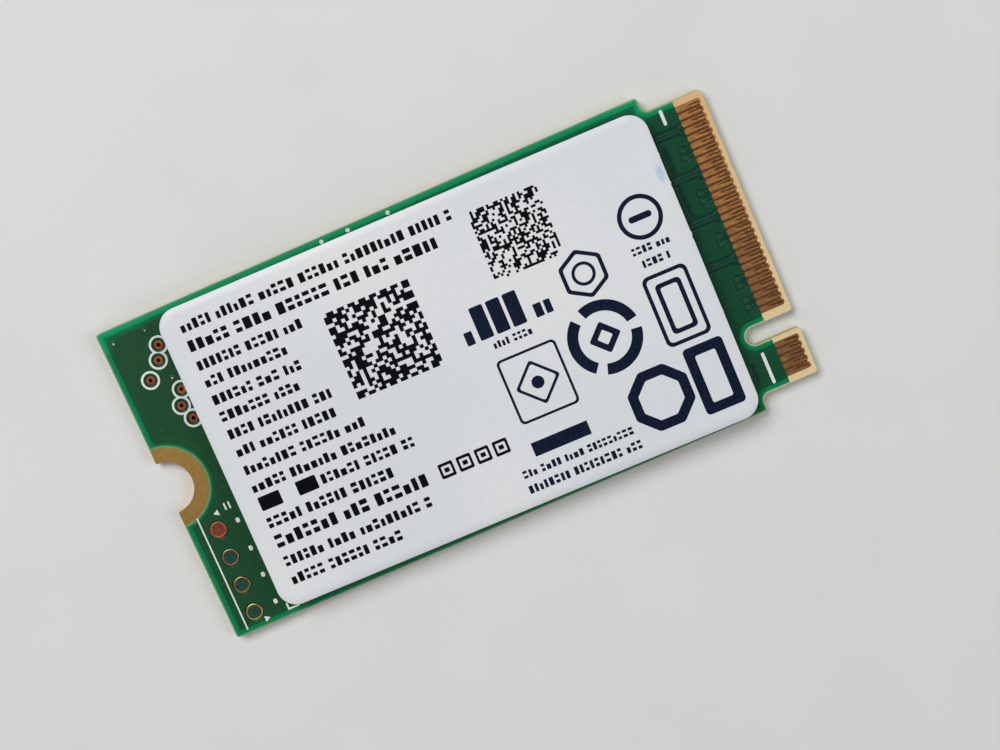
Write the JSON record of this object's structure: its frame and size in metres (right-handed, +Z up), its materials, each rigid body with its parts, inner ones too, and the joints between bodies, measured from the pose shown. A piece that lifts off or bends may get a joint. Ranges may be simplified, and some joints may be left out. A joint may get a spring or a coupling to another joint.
{
  "type": "solid state drive",
  "caption": "Thin rectangular green storage card with a notched gold edge-contact tongue, a half-round retaining notch and a white label over its chips.",
  "frame": {"origin": "centre of the card's outline, on the lowest plane of its underside", "axes": "+X along the card towards the contact edge, +Y across the card away from the key notch, +Z up through the label"},
  "size_m": [0.042, 0.022, 0.002],
  "materials": {
    "solder_mask": "semi-gloss green solder mask",
    "laminate": "glass-epoxy laminate",
    "copper": "copper foil",
    "gold_plate": "gold plate over nickel",
    "marking_ink": "white marking ink",
    "label_paper": "satin white film",
    "label_adhesive": "pressure-sensitive adhesive",
    "label_ink": "black printing",
    "mould_compound": "moulded epoxy",
    "package_substrate": "package substrate",
    "silicon": "ground silicon",
    "die_film": "die attach film",
    "bond_wire": "gold wire",
    "solder": "tin-silver solder",
    "tin_plate": "tin plate",
    "capacitor_ceramic": "fired dielectric",
    "resistor_ceramic": "alumina",
    "resistor_glass": "glass overcoat",
    "fuse_ceramic": "fired ceramic",
    "ferrite": "ferrite",
    "inductor_composite": "pressed iron composite",
    "crystal_ceramic": "alumina package",
    "crystal_metal": "plated iron-nickel lid",
    "quartz": "quartz with electrodes"
  },
  "bodies": {
    "root": {"solder_mask_top": "solder_mask", "solder_mask_bottom": "solder_mask", "top_ground_copper": "copper", "top_signal_traces": "copper", "component_lands": "copper", "bottom_ground_copper": "copper", "bottom_signal_traces": "copper", "inner_ground_plane": "copper", "inner_power_plane": "copper", "filled_vias": "copper", "test_pads": "gold_plate", "underside_test_pads": "gold_plate", "probe_eyelets": "copper", "edge_contacts_top": "gold_plate", "edge_contacts_bottom": "gold_plate", "retaining_ring": "gold_plate", "laminate_core": "laminate", "prepreg_top": "laminate", "prepreg_bottom": "laminate", "silkscreen": "marking_ink", "large_capacitor_bodies": "capacitor_ceramic", "large_capacitor_terminals": "tin_plate", "small_capacitor_bodies": "capacitor_ceramic", "small_capacitor_terminals": "tin_plate", "resistor_bodies": "resistor_ceramic", "resistor_films": "resistor_glass", "resistor_terminals": "tin_plate", "fuse_body": "fuse_ceramic", "fuse_terminals": "tin_plate", "ferrite_bead_bodies": "ferrite", "ferrite_bead_terminals": "tin_plate", "inductor_cores": "inductor_composite", "inductor_terminals": "tin_plate", "inductor_coils": "copper", "power_manager_mould": "mould_compound", "power_manager_leads": "tin_plate", "power_manager_die": "silicon", "crystal_base": "crystal_ceramic", "crystal_lid": "crystal_metal", "crystal_blank": "quartz", "crystal_terminals": "gold_plate", "regulator_body": "mould_compound", "regulator_leads": "tin_plate", "solder_joints": "solder", "flash_substrate": "package_substrate", "flash_mould": "mould_compound", "flash_dies": "silicon", "flash_die_films": "die_film", "flash_bond_wires": "bond_wire", "flash_solder_balls": "solder", "controller_substrate": "package_substrate", "controller_mould": "mould_compound", "controller_die": "silicon", "controller_die_film": "die_film", "controller_bond_wires": "bond_wire", "controller_solder_balls": "solder", "label_adhesive": "label_adhesive", "label_film": "label_paper", "label_print": "label_ink"}
  },
  "joints": []
}
